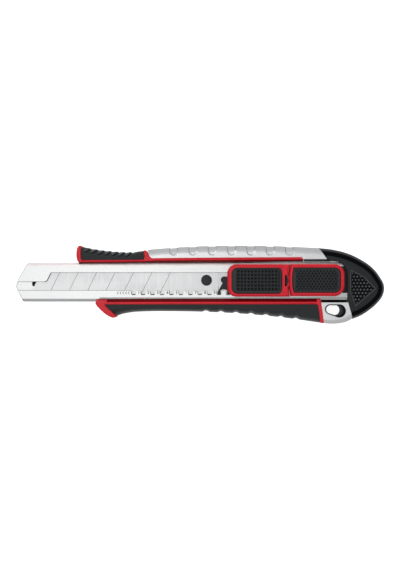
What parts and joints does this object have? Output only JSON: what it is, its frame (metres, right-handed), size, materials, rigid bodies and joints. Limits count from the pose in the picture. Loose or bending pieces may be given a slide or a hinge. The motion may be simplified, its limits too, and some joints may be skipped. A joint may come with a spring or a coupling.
{
  "type": "utility knife",
  "caption": "Snap-off blade utility knife with a ratchet slider, hinged release lever, soft grips, lanyard eye and pull-off tail cap over spare blades.",
  "frame": {"origin": "middle of the bounding box's underside, on the back face the knife lies on", "axes": "+X from the nose to the tail, +Y from the cutting edge to the spine, +Z from the back face to the slider"},
  "size_m": [0.2, 0.0426, 0.0195],
  "materials": {
    "steel": "satin",
    "blade_steel": "ground",
    "spring_steel": "plain",
    "zinc": "satin silver",
    "red": "semi-gloss",
    "soft_black": "matt soft-touch",
    "cap_black": "satin",
    "carrier_black": "plain",
    "carrier_metal": "satin",
    "tray_grey": "plain"
  },
  "bodies": {
    "handle": {"handle_body": "zinc", "spine_rail": "zinc", "lanyard_block": "zinc", "blade_channel": "steel", "channel_rivets": "spring_steel", "upper_grip": "soft_black", "lower_grip": "soft_black", "upper_trim": "red", "lower_trim": "red", "lanyard_liner": "cap_black", "magazine_tray": "tray_grey", "magazine_spring": "spring_steel", "spare_blades": "blade_steel"},
    "slider": {"slider_frame": "red", "slider_pad": "soft_black", "slider_screws": "spring_steel", "blade_carrier": "carrier_metal", "blade_peg": "cap_black", "blade": "blade_steel", "ratchet_spring": "carrier_black", "carrier_spring": "spring_steel", "lever_pin": "spring_steel", "lever_spring": "spring_steel"},
    "lever": {"lever_frame": "red", "lever_pad": "soft_black"},
    "cap": {"tail_cap": "cap_black"}
  },
  "joints": [
    {"name": "blade_slide", "type": "slide", "parent": "handle", "child": "slider", "axis": [-1, 0, 0], "range_m": [0, 0.04617], "deforming": ["ratchet_spring"]},
    {"name": "lever_press", "type": "hinge", "parent": "slider", "child": "lever", "pos_m": [0.04675, 0, 0.0169], "axis": [0, 1, 0], "range_deg": [0, 2.5], "stiffness_Nm_per_rad": 2, "springref_deg": -1.72, "deforming": ["lever_spring"]},
    {"name": "cap_pull", "type": "slide", "parent": "handle", "child": "cap", "axis": [1, 0, 0], "range_m": [0, 0.045]}
  ]
}
